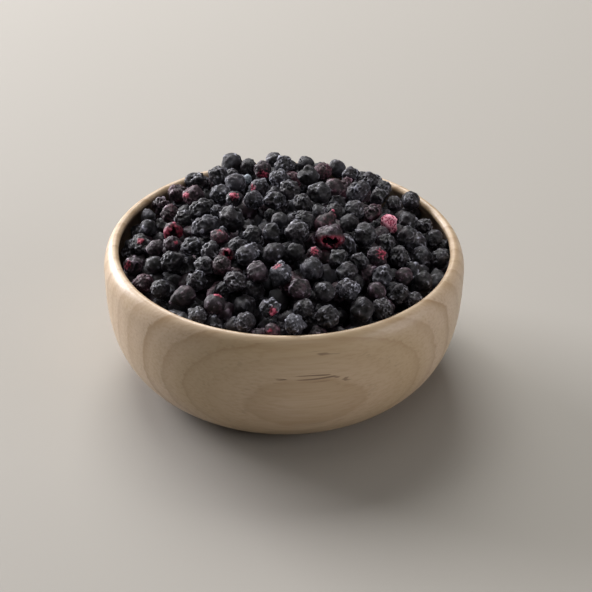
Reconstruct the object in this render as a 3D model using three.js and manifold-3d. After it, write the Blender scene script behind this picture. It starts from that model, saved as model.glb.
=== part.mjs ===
import * as THREE from "three";
import Module from "manifold-3d";
import { mergeVertices } from "three/addons/utils/BufferGeometryUtils.js";

// A turned wooden bowl heaped with freeze-dried blueberries.
// Millimetres, +Z up, the origin at the middle of the bowl's flat foot, the front towards -Y.

// Bowl
const bowlRadius = 80;
const widestHeight = 55;
const outerDepth = 61.4;
const roundness = 3.15;
const lipHeight = 62;
const lipMiddleRadius = 75.3;
const lipRadius = 2;
const innerRadius = 75.8;
const innerWidestHeight = 54;
const floorHeight = 8;
const turnSides = 48;
const bellySteps = 8;
const lipSteps = 4;

// Heap: the level of the top berries' middles at the wall, and at the peak
const frontLevel = 64.5;
const backLevel = 67.5;
const leftLevel = 56;
const rightLevel = 60;
const peakLevel = 80;
const heapRadius = 71;

// How the fill is made
const gap = 0.3;
const bedDrop = 1.8;
const bedWallTop = 61;
const bedLowRing = 42;
const bedTopRings = [innerRadius, 62, 40, 0];
const usualRadius = 4.2;
const flattest = 0.84;
const shapeSeed = 11;
const mergeDistance = 0.001;

// Whole berries lying on top, which could be picked off one by one.
// Each is [across, back, width] from the bowl's middle, and a lift where it lies on others.
const topBerries = {
  back: [
    [-25, 63, 12.4, 1.8],
    [-42, 54, 9.6],
    [-11, 50, 8.6],
    [-6, 69, 8.4, 0.4],
    [9, 61, 8.8],
    [31, 52, 8.8],
    [-23, 34, 9.8],
    [-3, 35, 8.6],
    [-12, 25, 8.4],
    [22, 29, 8.8],
    [33, 31, 9.4],
    [15, 19, 10.6],
    [59, 38, 9.2, 1.8],
  ],
  left: [
    [-42, 31, 10.4],
    [-58, 36, 8.8],
    [-52, 19, 8.6],
    [-38, 12, 10.8],
    [-35, -5, 10.4],
    [-64, 1, 10.2],
    [-66, -14, 8.4],
    [-40, -18, 8.8],
    [-48, -24, 9.6],
    [-33, -34, 8.6],
    [-52, -39, 9],
    [-42, -48, 8.8],
    [-36, -41, 8.4],
  ],
  middle: [
    [-14, 11, 9],
    [-5, 9, 9],
    [8, 6, 9],
    [-23, -3, 10.6],
    [-28, -17, 8.8],
    [-6, -18, 8.2],
    [6, -18, 11],
    [18, -8, 9.6],
    [28, -5, 8.6],
    [35, -12, 10.4],
    [-16, -32, 9.4],
    [-4, -31, 9.4],
    [12, -40, 10.4],
    [-1, -44, 9.6],
    [-20, -46, 9.6],
  ],
  right: [
    [54, -1, 8.6],
    [69, -8, 8.4],
    [40, -25, 9],
    [42, -36, 9.2],
    [60, -30, 9.4],
    [39, -46, 8.4],
  ],
  front: [
    [-28, -56, 9],
    [-15, -67, 8.8],
    [5, -69, 9],
    [7, -52, 9.2],
    [27, -49, 9.4],
    [18, -64, 9.8],
    [42, -57, 9],
  ],
};

// The berries on top whose dried flesh shows
const openBerries = {
  berry_torn_shell: [-49, 0, 9],
  berry_pink_flesh: [46, 6, 7.6],
  berry_cracked_open: [20, -19, 10.4],
  berry_crimson_ring: [-24, -29, 7],
};

// The other berries of the top layer, bedded among their neighbours
const beddedBerries = [
  [-18, 59, 8], [-18, 43, 4], [-32, 50, 8.4], [-1, 55, 8], [10, 40, 8.4], [17, 50, 8], [24, 60, 8.4],
  [38, 49, 8.6], [48, 52, 8], [2, 20, 8.4], [43, 33, 7.6], [50, 35, 7.6], [-50, 42, 8], [-63, 28, 7.6],
  [-29, 23, 8], [-23, 16, 7.2], [-30, 8, 5.6], [-45, 7, 7.8], [-62, 14, 8], [-56, -9, 7.6],
  [-49, -12, 7.8], [-13, -19, 7.8], [-31, -26, 8], [-20, -24, 7], [-56, -22, 7.6], [-26, -36, 7.6],
  [-60, -30, 7.6], [-11, -43, 8.8], [-5, -61, 7.8], [-35, -60, 7.8], [-4, -71, 6], [31, 8, 8.2],
  [38, 9, 8], [56, 14, 8], [15, 0, 7], [22, 4, 7], [9, -8, 8], [-2, -8, 7], [44, -6, 7.6], [62, 15, 7.4],
  [67, 8, 7.6], [5, -30, 7.4], [13, -30, 6], [23, -32, 8.2], [32, -30, 7], [50, -20, 8.4], [27, -39, 8.2],
  [51, -32, 7], [17, -52, 8.2], [49, -43, 8], [33, -57, 8.8], [9, -61, 7.6], [55, -43, 7],
];

const wood = new THREE.MeshStandardMaterial({ color: 0xc9b595, roughness: 0.6, metalness: 0 });
const skin = new THREE.MeshStandardMaterial({ color: 0x23232b, roughness: 0.85, metalness: 0 });
const flesh = new THREE.MeshStandardMaterial({ color: 0x8e2440, roughness: 0.8, metalness: 0 });

const quarterTurn = Math.PI / 2;
const wasm = await Module();
wasm.setup();

// Repeatable random numbers from 0 to 1
function randomFrom(seed) {
  let state = seed;
  return () => {
    state = (state * 1664525 + 1013904223) % 4294967296;
    return state / 4294967296;
  };
}

function solidOf(geometry) {
  const bare = geometry.clone();
  bare.deleteAttribute("normal");
  bare.deleteAttribute("uv");
  const merged = mergeVertices(bare, mergeDistance);
  const corners = merged.index.array;
  const kept = [];
  for (let i = 0; i < corners.length; i += 3) {
    const [a, b, c] = [corners[i], corners[i + 1], corners[i + 2]];
    if (a !== b && b !== c && c !== a) kept.push(a, b, c);
  }
  return new wasm.Manifold(new wasm.Mesh({
    numProp: 3,
    vertProperties: new Float32Array(merged.attributes.position.array),
    triVerts: new Uint32Array(kept),
  }));
}

function geometryOf(solid) {
  const mesh = solid.getMesh();
  const geometry = new THREE.BufferGeometry();
  geometry.setAttribute("position", new THREE.BufferAttribute(new Float32Array(mesh.vertProperties), 3));
  geometry.setIndex(new THREE.BufferAttribute(new Uint32Array(mesh.triVerts), 1));
  geometry.computeVertexNormals();
  return geometry;
}

// A point of the superellipse that both walls follow below their widest height:
// turn is 0 on the axis and a quarter turn at the widest height
function bellyPoint(radius, depth, widest, turn) {
  const out = radius * Math.sin(turn) ** (2 / roundness);
  const up = widest - depth * Math.cos(turn) ** (2 / roundness);
  return new THREE.Vector2(out, up);
}

// Above its widest height a wall follows an ellipse in to the lip
function shoulderPoint(radius, widest, lipEdge, share) {
  const last = Math.acos(lipEdge / radius);
  const reach = (lipHeight - widest) / Math.sin(last);
  return new THREE.Vector2(radius * Math.cos(last * share), widest + reach * Math.sin(last * share));
}

// The hollow's outline, from the middle of its floor up to the lip
function hollowOutline() {
  const depth = innerWidestHeight - floorHeight;
  const outline = [new THREE.Vector2(0, floorHeight)];
  for (let i = 1; i <= bellySteps; i += 1) {
    const turn = quarterTurn * (i / bellySteps);
    outline.push(bellyPoint(innerRadius, depth, innerWidestHeight, turn));
  }
  const lipEdge = lipMiddleRadius - lipRadius;
  const shoulder = (share) => shoulderPoint(innerRadius, innerWidestHeight, lipEdge, share);
  outline.push(shoulder(0.5), shoulder(1));
  return outline;
}

const hollow = hollowOutline();

function innerRadiusAt(height) {
  const next = hollow.findIndex((point) => point.y > height);
  if (next < 1) return hollow.at(next).x;
  const [low, high] = [hollow[next - 1], hollow[next]];
  return low.x + (high.x - low.x) * ((height - low.y) / (high.y - low.y));
}

function turned(profile) {
  return new THREE.LatheGeometry(profile, turnSides).rotateX(Math.PI / 2);
}

function bowlGeometry() {
  const footTurn = Math.acos((widestHeight / outerDepth) ** (roundness / 2));
  const profile = [new THREE.Vector2(0, 0)];
  for (let i = 0; i <= bellySteps; i += 1) {
    const turn = footTurn + (quarterTurn - footTurn) * (i / bellySteps);
    profile.push(bellyPoint(bowlRadius, outerDepth, widestHeight, turn));
  }
  profile[1].y = 0;
  profile.push(shoulderPoint(bowlRadius, widestHeight, lipMiddleRadius + lipRadius, 0.5));
  for (let i = 0; i <= lipSteps; i += 1) {
    const turn = Math.PI * (i / lipSteps);
    const out = lipMiddleRadius + lipRadius * Math.cos(turn);
    profile.push(new THREE.Vector2(out, lipHeight + lipRadius * Math.sin(turn)));
  }
  profile.push(...hollow.slice(0, -1).reverse());
  return turned(profile);
}

// The level of the top layer's middles over a point of the bowl
function heapLevel(x, y) {
  const out = Math.max(Math.hypot(x, y), 0.001);
  const side = (x > 0 ? rightLevel : leftLevel) * (x / out) ** 2;
  const depth = (y > 0 ? backLevel : frontLevel) * (y / out) ** 2;
  const wallLevel = side + depth;
  return wallLevel + (peakLevel - wallLevel) * (1 - (out / heapRadius) ** 2);
}

// The buried berries as one body: it fills the bowl, and its top lies a little under the top layer
function bedGeometry() {
  const low = hollow.filter((point) => point.y < bedLowRing);
  const profile = low.map((point) => new THREE.Vector2(Math.max(point.x - gap, 0), point.y + gap));
  for (const radius of bedTopRings) profile.push(new THREE.Vector2(radius, peakLevel));
  const geometry = turned(profile);
  const place = geometry.attributes.position;
  for (let i = 0; i < place.count; i += 1) {
    const [x, y, z] = [place.getX(i), place.getY(i), place.getZ(i)];
    if (z < bedLowRing + 1) continue;
    const out = Math.hypot(x, y);
    const level = heapLevel(x, y) - bedDrop;
    if (out < bedTopRings[1] + 1) {
      place.setZ(i, level);
    } else {
      const height = Math.min(level, bedWallTop);
      const inward = (innerRadiusAt(height) - gap) / out;
      place.setXYZ(i, x * inward, y * inward, height);
    }
  }
  return geometry;
}

// A small berry sinks between its neighbours, and one that lies on others is raised by its lift
function layOut() {
  const berries = [];
  const random = randomFrom(shapeSeed);
  const flatten = () => flattest + (1 - flattest) * random();
  const add = (name, [x, y, width, lift = 0]) => {
    const radius = width / 2;
    const rise = lift - Math.max(0, usualRadius - radius);
    const place = new THREE.Vector3(x, y, heapLevel(x, y) + rise);
    const shares = [1, flatten(), flatten()];
    const turns = [Math.PI * random(), Math.PI * random()];
    berries.push({ name, radius, rise, place, shares, turns });
  };
  for (const [side, places] of Object.entries(topBerries)) {
    places.forEach((place, i) => add(`berry_${side}_${i + 1}`, place));
  }
  for (const [name, place] of Object.entries(openBerries)) add(name, place);
  beddedBerries.forEach((place) => add(null, place));
  settle(berries);
  return berries;
}

// Pushes touching berries apart and in from the wall, while each is drawn back to the heap's level
function settle(berries) {
  const drawnSteps = 160;
  const freeSteps = 240;
  const pull = 0.25;
  const apart = new THREE.Vector3();
  for (let step = 0; step < drawnSteps + freeSteps; step += 1) {
    for (const berry of berries) {
      const level = heapLevel(berry.place.x, berry.place.y) + berry.rise;
      if (step < drawnSteps) berry.place.z += (level - berry.place.z) * pull;
      keepInside(berry);
    }
    for (let i = 0; i < berries.length; i += 1) {
      for (let j = i + 1; j < berries.length; j += 1) {
        const [one, other] = [berries[i], berries[j]];
        apart.subVectors(other.place, one.place);
        const missing = one.radius + other.radius + gap - apart.length();
        if (missing <= 0) continue;
        apart.setLength(missing / 2 + 0.001);
        one.place.sub(apart);
        other.place.add(apart);
      }
    }
  }
}

function keepInside(berry) {
  const { place, radius } = berry;
  const out = Math.hypot(place.x, place.y);
  let furthest = innerRadiusAt(Math.min(place.z, lipHeight)) - radius - gap;
  if (place.z > lipHeight) {
    const reach = radius + lipRadius + gap;
    const above = Math.min(place.z - lipHeight, reach);
    furthest = lipMiddleRadius - Math.sqrt(reach ** 2 - above ** 2);
  }
  if (out > furthest) {
    place.x *= furthest / out;
    place.y *= furthest / out;
  }
}

// A berry is a slightly flattened ball, turned its own way, with its middle at the origin
function berryGeometry(berry, growth = 0) {
  const shape = new THREE.IcosahedronGeometry(berry.radius + growth, 1);
  shape.scale(...berry.shares);
  shape.rotateX(berry.turns[0]);
  shape.rotateZ(berry.turns[1]);
  return shape;
}

function buildHeap() {
  const heap = new THREE.Group();
  const berries = layOut();
  const inPlace = (berry, growth) => solidOf(berryGeometry(berry, growth).translate(...berry.place));
  let bed = solidOf(bedGeometry());
  for (const berry of berries.filter((each) => !each.name)) bed = bed.add(inPlace(berry, 0));
  for (const berry of berries.filter((each) => each.name)) {
    bed = bed.subtract(inPlace(berry, gap));
    const mesh = new THREE.Mesh(berryGeometry(berry), berry.name in openBerries ? flesh : skin);
    mesh.name = berry.name;
    mesh.position.copy(berry.place);
    heap.add(mesh);
  }
  const bedMesh = new THREE.Mesh(geometryOf(bed), skin);
  bedMesh.name = "berry_bed";
  heap.add(bedMesh);
  return heap;
}

const bowl = new THREE.Mesh(bowlGeometry(), wood);
bowl.name = "bowl";

const filledBowl = new THREE.Group();
filledBowl.add(bowl, buildHeap());

export default filledBowl;
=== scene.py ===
import math

import bpy
import numpy as np
from mathutils import Euler, Matrix, Vector, noise


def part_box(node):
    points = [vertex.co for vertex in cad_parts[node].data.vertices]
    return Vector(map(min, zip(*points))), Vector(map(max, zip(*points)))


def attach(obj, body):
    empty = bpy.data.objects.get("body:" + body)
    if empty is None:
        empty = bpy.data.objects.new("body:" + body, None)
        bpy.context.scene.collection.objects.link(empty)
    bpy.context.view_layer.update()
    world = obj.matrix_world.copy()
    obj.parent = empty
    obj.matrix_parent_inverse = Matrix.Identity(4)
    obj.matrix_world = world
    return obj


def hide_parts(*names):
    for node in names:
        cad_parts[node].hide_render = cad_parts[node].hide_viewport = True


# Turned wooden bowl heaped with freeze-dried blueberries, in metres, +Z up, front towards -Y

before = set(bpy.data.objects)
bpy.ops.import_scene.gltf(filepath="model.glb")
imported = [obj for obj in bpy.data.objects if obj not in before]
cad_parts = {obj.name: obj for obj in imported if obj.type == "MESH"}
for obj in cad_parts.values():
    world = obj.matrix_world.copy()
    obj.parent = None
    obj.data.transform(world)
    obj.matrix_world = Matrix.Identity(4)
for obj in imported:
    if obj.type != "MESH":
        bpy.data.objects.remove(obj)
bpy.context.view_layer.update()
bpy.ops.object.select_all(action="DESELECT")
mm = 0.001
draw = np.random.default_rng(21)


# Helpers for nodes

def addNode(tree, kind, place, settings=None, inputs=None):
    node = tree.nodes.new(kind)
    node.location = place
    for name, value in (settings or {}).items():
        setattr(node, name, value)
    for name, value in (inputs or {}).items():
        plug(tree, value, node.inputs[name])
    return node


def plug(tree, value, socket):
    if isinstance(value, bpy.types.NodeSocket):
        tree.links.new(value, socket)
    elif socket.type == "RGBA":
        socket.default_value = (*value, 1)
    else:
        socket.default_value = value


def calculate(tree, place, operation, first, second=0.0):
    node = addNode(tree, "ShaderNodeMath", place, {"operation": operation})
    plug(tree, first, node.inputs[0])
    plug(tree, second, node.inputs[1])
    return node.outputs[0]


def multiply(tree, place, first, second):
    return calculate(tree, place, "MULTIPLY", first, second)


def mapRange(tree, place, value, start, end, toStart=0.0, toEnd=1.0, kind="SMOOTHSTEP"):
    inputs = {"Value": value, "From Min": start, "From Max": end, "To Min": toStart, "To Max": toEnd}
    node = addNode(tree, "ShaderNodeMapRange", place, {"interpolation_type": kind}, inputs)
    return node.outputs["Result"]


def noiseTone(tree, place, vector, scale, detail=2, roughness=0.5):
    inputs = {"Vector": vector, "Scale": scale, "Detail": detail, "Roughness": roughness}
    return addNode(tree, "ShaderNodeTexNoise", place, inputs=inputs).outputs["Fac"]


def blendColours(tree, place, factor, first, second):
    node = addNode(tree, "ShaderNodeMix", place, {"data_type": "RGBA"})
    plug(tree, factor, node.inputs[0])
    plug(tree, first, node.inputs[6])
    plug(tree, second, node.inputs[7])
    return node.outputs[2]


def newGroup(name, inputs, outputs):
    tree = bpy.data.node_groups.new(name, "ShaderNodeTree")
    for label, value in inputs.items():
        kind = "NodeSocketVector" if value is None else "NodeSocketFloat"
        socket = tree.interface.new_socket(name=label, in_out="INPUT", socket_type=kind)
        if value is not None:
            socket.default_value = value
    for label in outputs:
        tree.interface.new_socket(name=label, in_out="OUTPUT", socket_type="NodeSocketFloat")
    ends = addNode(tree, "NodeGroupInput", (-900, 0)), addNode(tree, "NodeGroupOutput", (900, 0))
    return tree, ends[0].outputs, ends[1].inputs


def newMaterial(name):
    material = bpy.data.materials.new(name)
    material.use_nodes = True
    tree = material.node_tree
    return material, tree, tree.nodes["Principled BSDF"]


def addBump(tree, height, distance, surface):
    bump = addNode(tree, "ShaderNodeBump", (-200, -900), inputs={"Height": height, "Distance": distance})
    tree.links.new(bump.outputs["Normal"], surface.inputs["Normal"])


# Effects that several materials share

def makePatches():  # soft patches, such as bloom that has rubbed off
    inputs = {"Place": None, "Size mm": 5.0, "Start": 0.4, "End": 0.6}
    tree, given, put = newGroup("patches", inputs, ["Mask"])
    scale = calculate(tree, (-700, -100), "DIVIDE", 1 / mm, given["Size mm"])
    tone = noiseTone(tree, (-500, 0), given["Place"], scale)
    tree.links.new(mapRange(tree, (-200, 0), tone, given["Start"], given["End"]), put["Mask"])
    return tree


def makeSpeckle():  # fine uneven height and tone, as on dry skin and pulp
    tree, given, put = newGroup("speckle", {"Place": None, "Size mm": 0.3}, ["Height"])
    scale = calculate(tree, (-700, -100), "DIVIDE", 1 / mm, given["Size mm"])
    tree.links.new(noiseTone(tree, (-500, 0), given["Place"], scale, 3, 0.65), put["Height"])
    return tree


patches = makePatches()
speckle = makeSpeckle()


def useGroup(tree, group, place, output, **inputs):
    node = addNode(tree, "ShaderNodeGroup", place, {"node_tree": group})
    for name, value in inputs.items():
        plug(tree, value, node.inputs[name.replace("_", " ")])
    return node.outputs[output]


# Skin and flesh

skinLooks = {
    "blueBlackSkin": {
        "creaseShade": (0.001, 0.001, 0.0013), "skin": (0.0115, 0.011, 0.015), "blush": (0.0175, 0.012, 0.0175),
        "bloomAndGlint": (0.31, 0.312, 0.37), "bloomAndGlintAmount": 0.75, "haze": 0.05, "roughness": 0.4,
    },
    "dustySkin": {
        "creaseShade": (0.002, 0.002, 0.0027), "skin": (0.0185, 0.018, 0.025), "blush": (0.026, 0.019, 0.027),
        "bloomAndGlint": (0.4, 0.41, 0.5), "bloomAndGlintAmount": 0.95, "haze": 0.12, "roughness": 0.48,
    },
    "purpleSkin": {
        "creaseShade": (0.0018, 0.001, 0.0014), "skin": (0.019, 0.0115, 0.0165), "blush": (0.034, 0.0115, 0.021),
        "bloomAndGlint": (0.38, 0.3, 0.39), "bloomAndGlintAmount": 0.7, "haze": 0.06, "roughness": 0.42,
    },
    "redPurpleSkin": {
        "creaseShade": (0.0025, 0.001, 0.0015), "skin": (0.025, 0.012, 0.017), "blush": (0.065, 0.012, 0.026),
        "bloomAndGlint": (0.42, 0.29, 0.37), "bloomAndGlintAmount": 0.6, "haze": 0.06, "roughness": 0.42,
    },
    "beadSkin": {
        "creaseShade": (0.07, 0.08, 0.095), "skin": (0.28, 0.33, 0.39), "blush": (0.34, 0.39, 0.45),
        "bloomAndGlint": (0.6, 0.67, 0.74), "bloomAndGlintAmount": 0.8, "haze": 0.4, "roughness": 0.6,
    },
}
skinWear = {
    "ridgeStart": 0.15, "ridgeEnd": 0.7,  # relief where the painted shade in the creases turns into open skin
    "bloomAndGlintStart": 0.62, "bloomAndGlintEnd": 1.0,  # relief where the bloom and the painted glints lie
    "bloomPatch": 5.0, "blushPatch": 6.0, "hazePatch": 8.0,  # sizes in mm
    "poreSize": 0.35, "poreDepth": 0.12 * mm, "creaseRoughness": 0.85,
}
fleshLook = {
    "pulpShade": (0.02, 0.001, 0.003), "crimson": (0.3, 0.011, 0.042), "pinkAndGlint": (0.85, 0.2, 0.32),
    "pinkAndGlintAmount": 0.5,
}
# pulp round a broken berry's hollow, painted much darker than open flesh: painted shade inside the hollow
shadedHollowLook = {
    "pulpShade": (0.006, 0.001, 0.002), "crimson": (0.1, 0.004, 0.014), "pinkAndGlint": (0.3, 0.02, 0.05),
    "pinkAndGlintAmount": 0.4, "start": 0.3, "end": 1.1, "poreSize": 0.5, "poreDepth": 0.25 * mm,
}
brightLook = {
    "pulpShade": (0.05, 0.002, 0.01), "crimson": (0.62, 0.045, 0.14), "pinkAndGlint": (0.95, 0.45, 0.56),
    "pinkAndGlintAmount": 0.9, "start": 0.3, "end": 0.9, "poreSize": 0.6, "poreDepth": 0.2 * mm,
}


def attribute(tree, place, name):
    return addNode(tree, "ShaderNodeAttribute", place, {"attribute_name": name}).outputs["Fac"]


def fleshColour(tree, relief, look):
    # the pulp's hollows are painted near-black as painted shade; its ridges turn pink, partly the pulp's own
    # colour and partly painted highlight
    shadeToRed = mapRange(tree, (-500, -500), relief, 0.1, 0.6)
    red = blendColours(tree, (-300, -500), shadeToRed, look["pulpShade"], look["crimson"])
    redToPinkAndGlint = mapRange(tree, (-500, -650), relief, 0.5, 0.9)
    pinkAndGlintShare = multiply(tree, (-300, -650), redToPinkAndGlint, look["pinkAndGlintAmount"])
    return blendColours(tree, (-100, -500), pinkAndGlintShare, red, look["pinkAndGlint"])


def makeSkin(name, look):
    material, tree, surface = newMaterial(name)
    place = addNode(tree, "ShaderNodeTexCoord", (-1300, 0)).outputs["Object"]
    relief = attribute(tree, (-1300, 300), "relief")
    opened = attribute(tree, (-1300, -400), "opened")

    def patchy(height, size, start, end):
        at = (-1000, height)
        return useGroup(tree, patches, at, "Mask", Place=place, Size_mm=size, Start=start, End=end)

    ridge = mapRange(tree, (-1000, 300), relief, skinWear["ridgeStart"], skinWear["ridgeEnd"])
    blushed = patchy(0, skinWear["blushPatch"], 0.45, 0.6)
    skin = blendColours(tree, (-750, 100), blushed, look["skin"], look["blush"])
    # the creases are painted near-black: painted shade in the hollows of the wrinkles
    colour = blendColours(tree, (-500, 200), ridge, look["creaseShade"], skin)
    dusty = patchy(-200, skinWear["bloomPatch"], 0.36, 0.62)
    # the pale ridge tops are the skin's waxy bloom and partly painted glints of light
    high = mapRange(tree, (-750, 400), relief, skinWear["bloomAndGlintStart"], skinWear["bloomAndGlintEnd"])
    bloomAndGlint = multiply(tree, (-500, 400), multiply(tree, (-600, 400), high, dusty), look["bloomAndGlintAmount"])
    haze = multiply(tree, (-500, 550), patchy(-300, skinWear["hazePatch"], 0.45, 0.65), look["haze"])
    bloomAndGlint = calculate(tree, (-400, 400), "MAXIMUM", bloomAndGlint, haze)
    colour = blendColours(tree, (-250, 200), bloomAndGlint, colour, look["bloomAndGlint"])
    colour = blendColours(tree, (0, 100), opened, colour, fleshColour(tree, relief, fleshLook))
    tree.links.new(colour, surface.inputs["Base Color"])
    pores = useGroup(tree, speckle, (-500, -900), "Height", Place=place, Size_mm=skinWear["poreSize"])
    addBump(tree, pores, skinWear["poreDepth"], surface)
    dull, glossy = skinWear["creaseRoughness"], look["roughness"]
    rough = mapRange(tree, (-200, -200), relief, 0, 1, dull, glossy, "LINEAR")
    tree.links.new(rough, surface.inputs["Roughness"])
    return material


def makeFlesh(name, look):
    material, tree, surface = newMaterial(name)
    place = addNode(tree, "ShaderNodeTexCoord", (-1300, 0)).outputs["Object"]
    pulp = useGroup(tree, speckle, (-1000, 0), "Height", Place=place, Size_mm=look["poreSize"])
    relief = attribute(tree, (-1000, -200), "relief")
    high = multiply(tree, (-850, -100), calculate(tree, (-900, 0), "ADD", pulp, relief), 0.7)
    colour = fleshColour(tree, mapRange(tree, (-750, 0), high, look["start"], look["end"]), look)
    tree.links.new(colour, surface.inputs["Base Color"])
    addBump(tree, pulp, look["poreDepth"], surface)
    surface.inputs["Roughness"].default_value = 0.6
    return material


skins = {name: makeSkin(name, look) for name, look in skinLooks.items()}
shadedHollowFlesh = makeFlesh("shadedHollowFlesh", shadedHollowLook)
brightFlesh = makeFlesh("brightFlesh", brightLook)
print("materials made for the berries")


# Berry kinds. Each is modelled once, on a bench beside the bowl, in four finenesses, and copied from there

berryModel = {
    "radius": 4.7 * mm, "crownRadius": 1.25 * mm, "crownWall": 0.3 * mm, "pitDepth": 0.55 * mm,
    "benchStep": 30 * mm, "lumpSize": 4.2 * mm, "grainSize": 0.5 * mm, "reliefRounds": 14,
    "patchSize": 4.5 * mm, "foldStretch": 0.38, "foldCover": 0.4, "taper": 0.75,
    "crownSlope": 0.2 * mm, "crownFlare": 1.1, "pitNarrowing": 0.75,
}
# oval: the three widths. lump: overall unevenness. dent: hollows between ridges. net: fine net of wrinkles.
# folds: the same drawn out along one way, where a patch of skin has shrunk more, and foldCover is how much
# of the skin they take. crown: height of the ring at the blossom end. All in mm but oval and foldCover.
kindParts = ("oval", "lump", "dent", "dentSize", "net", "netSize", "folds", "foldSize", "grain", "crown",
             "foldCover")
berryKinds = {
    "netted1": ((1, 0.95, 0.92), 1.6, 0.7, 4.2, 0.8, 1.5, 0.5, 1.3, 0.14, 0.3, 0.4),
    "netted2": ((1, 0.98, 0.88), 2, 1, 5, 0.85, 1.2, 0.7, 1.4, 0.15, 0.2, 0.4),
    "netted3": ((1, 0.93, 0.95), 2.2, 1.1, 3.8, 0.75, 1.1, 0.6, 1.2, 0.15, 0.35, 0.4),
    "smooth1": ((1, 0.97, 0.95), 1.2, 0.3, 5.5, 0.08, 1.6, 0.12, 1.6, 0.05, 0.5, 0.4),
    "smooth2": ((1, 0.93, 0.9), 1.8, 0.9, 7, 0.1, 1.4, 0.35, 1.5, 0.06, 0.5, 0.4),
    "smooth3": ((1, 0.96, 0.9), 2.2, 1, 5, 0.14, 1.2, 0.5, 1.3, 0.07, 0.4, 0.4),
    "folded1": ((1.14, 0.84, 0.8), 1.4, 0.8, 3.4, 0.2, 1.3, 1.5, 1.7, 0.1, 0.2, 1),
    "folded2": ((1.1, 0.9, 0.78), 2.2, 1.4, 4, 0.3, 1.2, 1.4, 1.5, 0.1, 0.15, 0.9),
    "dimpled1": ((1, 0.96, 0.9), 2, 1.9, 5, 0.2, 1.3, 0.4, 1.4, 0.07, 0.4, 0.4),
    "dimpled2": ((1, 0.92, 0.92), 2.4, 1.8, 4.2, 0.3, 1.1, 0.6, 1.3, 0.1, 0.3, 0.4),
    "pointed": ((0.95, 0.9, 1.2), 1.4, 0.6, 5, 0.1, 1.4, 0.4, 1.4, 0.06, 0.6, 0.4),
    "wrinkled1": ((1, 0.93, 0.88), 2.2, 1.5, 3.4, 0.55, 1.1, 0.95, 1.3, 0.12, 0.3, 0.4),
    "wrinkled2": ((1, 0.97, 0.85), 2.4, 1.7, 2.8, 0.5, 1, 1, 1.2, 0.12, 0.2, 0.4),
    "wrinkled3": ((1, 0.9, 0.9), 2, 1.3, 3, 0.7, 0.95, 0.9, 1.1, 0.12, 0.3, 0.4),
}
finenesses = {"near": 3300, "between": 1500, "middle": 480, "pulpShade": 60}  # triangles of one berry


def reliefTexture(name, kind, size, **settings):
    texture = bpy.data.textures.new(name, kind)
    texture.noise_scale = size
    for setting, value in settings.items():
        setattr(texture, setting, value)
    return texture


def displace(berry, texture, strength, middle=0.5, patch=""):
    push = berry.modifiers.new("push", "DISPLACE")
    push.vertex_group = patch
    push.texture = texture
    push.texture_coords = "GLOBAL"  # each kind stands at its own place on the bench, so no two are alike
    push.strength = strength
    push.mid_level = middle
    bpy.ops.object.modifier_apply(modifier=push.name)


lumpTexture = reliefTexture("lumps", "CLOUDS", berryModel["lumpSize"], noise_depth=1)
grainTexture = reliefTexture("grain", "MUSGRAVE", berryModel["grainSize"], octaves=2)
grainTexture.musgrave_type = "RIDGED_MULTIFRACTAL"


def pickFaces(piece, wanted):
    bpy.ops.object.mode_set(mode="EDIT")
    bpy.ops.mesh.select_mode(type="FACE")
    bpy.ops.mesh.select_all(action="DESELECT")
    bpy.ops.object.mode_set(mode="OBJECT")
    for face in piece.data.polygons:
        face.select = wanted(face)
    bpy.ops.object.mode_set(mode="EDIT")


def raiseCrown(berry, look):  # a low ring round a pit, where the flower was
    top = berry.location
    reach = berryModel["crownRadius"]
    pickFaces(berry, lambda face: face.center.z > 0 and face.center.xy.length < reach)
    bpy.ops.mesh.inset(thickness=berryModel["crownSlope"])
    bpy.ops.mesh.extrude_region_move(TRANSFORM_OT_translate={"value": (0, 0, look["crown"] * mm)})
    flare, narrowing = berryModel["crownFlare"], berryModel["pitNarrowing"]
    bpy.ops.transform.resize(value=(flare, flare, 1), center_override=top)
    bpy.ops.mesh.inset(thickness=berryModel["crownWall"])
    drop = look["crown"] * mm + berryModel["pitDepth"]
    bpy.ops.mesh.extrude_region_move(TRANSFORM_OT_translate={"value": (0, 0, -drop)})
    bpy.ops.transform.resize(value=(narrowing, narrowing, 1), center_override=top)
    bpy.ops.mesh.select_all(action="SELECT")
    bpy.ops.transform.resize(value=look["oval"], center_override=top)
    bpy.ops.object.mode_set(mode="OBJECT")


def wrinklePatch(berry, name, number, cover):  # where the skin has wrinkled in one way; elsewhere it fades
    group = berry.vertex_groups.new(name=name)
    shift = berry.location / berryModel["patchSize"] + Vector((0, 7.3 * number, 3.1 * number))
    for vertex in berry.data.vertices:
        weight = cover + 1.7 * noise.noise(vertex.co / berryModel["patchSize"] + shift)
        group.add([vertex.index], min(1, max(0, weight)), "REPLACE")
    return group.name


def vertexArray(mesh, what="co"):
    values = np.empty(len(mesh.vertices) * 3)
    mesh.vertices.foreach_get(what, values)
    return values.reshape(-1, 3)


def storeRelief(berry):  # 0 deep in a crease, 1 on top of a ridge
    mesh = berry.data
    places = vertexArray(mesh)
    normals = vertexArray(mesh, "normal")
    edges = np.empty(len(mesh.edges) * 2, int)
    mesh.edges.foreach_get("vertices", edges)
    first, second = edges.reshape(-1, 2).T
    shares = np.bincount(edges, minlength=len(places))[:, None]
    soft = places
    for _ in range(berryModel["reliefRounds"]):
        total = np.zeros_like(soft)
        for axis in range(3):
            total[:, axis] = np.bincount(first, soft[second, axis], len(soft))
            total[:, axis] += np.bincount(second, soft[first, axis], len(soft))
        soft = total / shares
    height = ((places - soft) * normals).sum(axis=1)
    low, high = np.percentile(height, (4, 96))
    relief = np.clip((height - low) / (high - low), 0, 1)
    for name, values in (("relief", relief), ("opened", np.zeros(len(relief)))):
        mesh.attributes.new(name, "FLOAT", "POINT").data.foreach_set("value", values.astype(np.float32))


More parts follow.
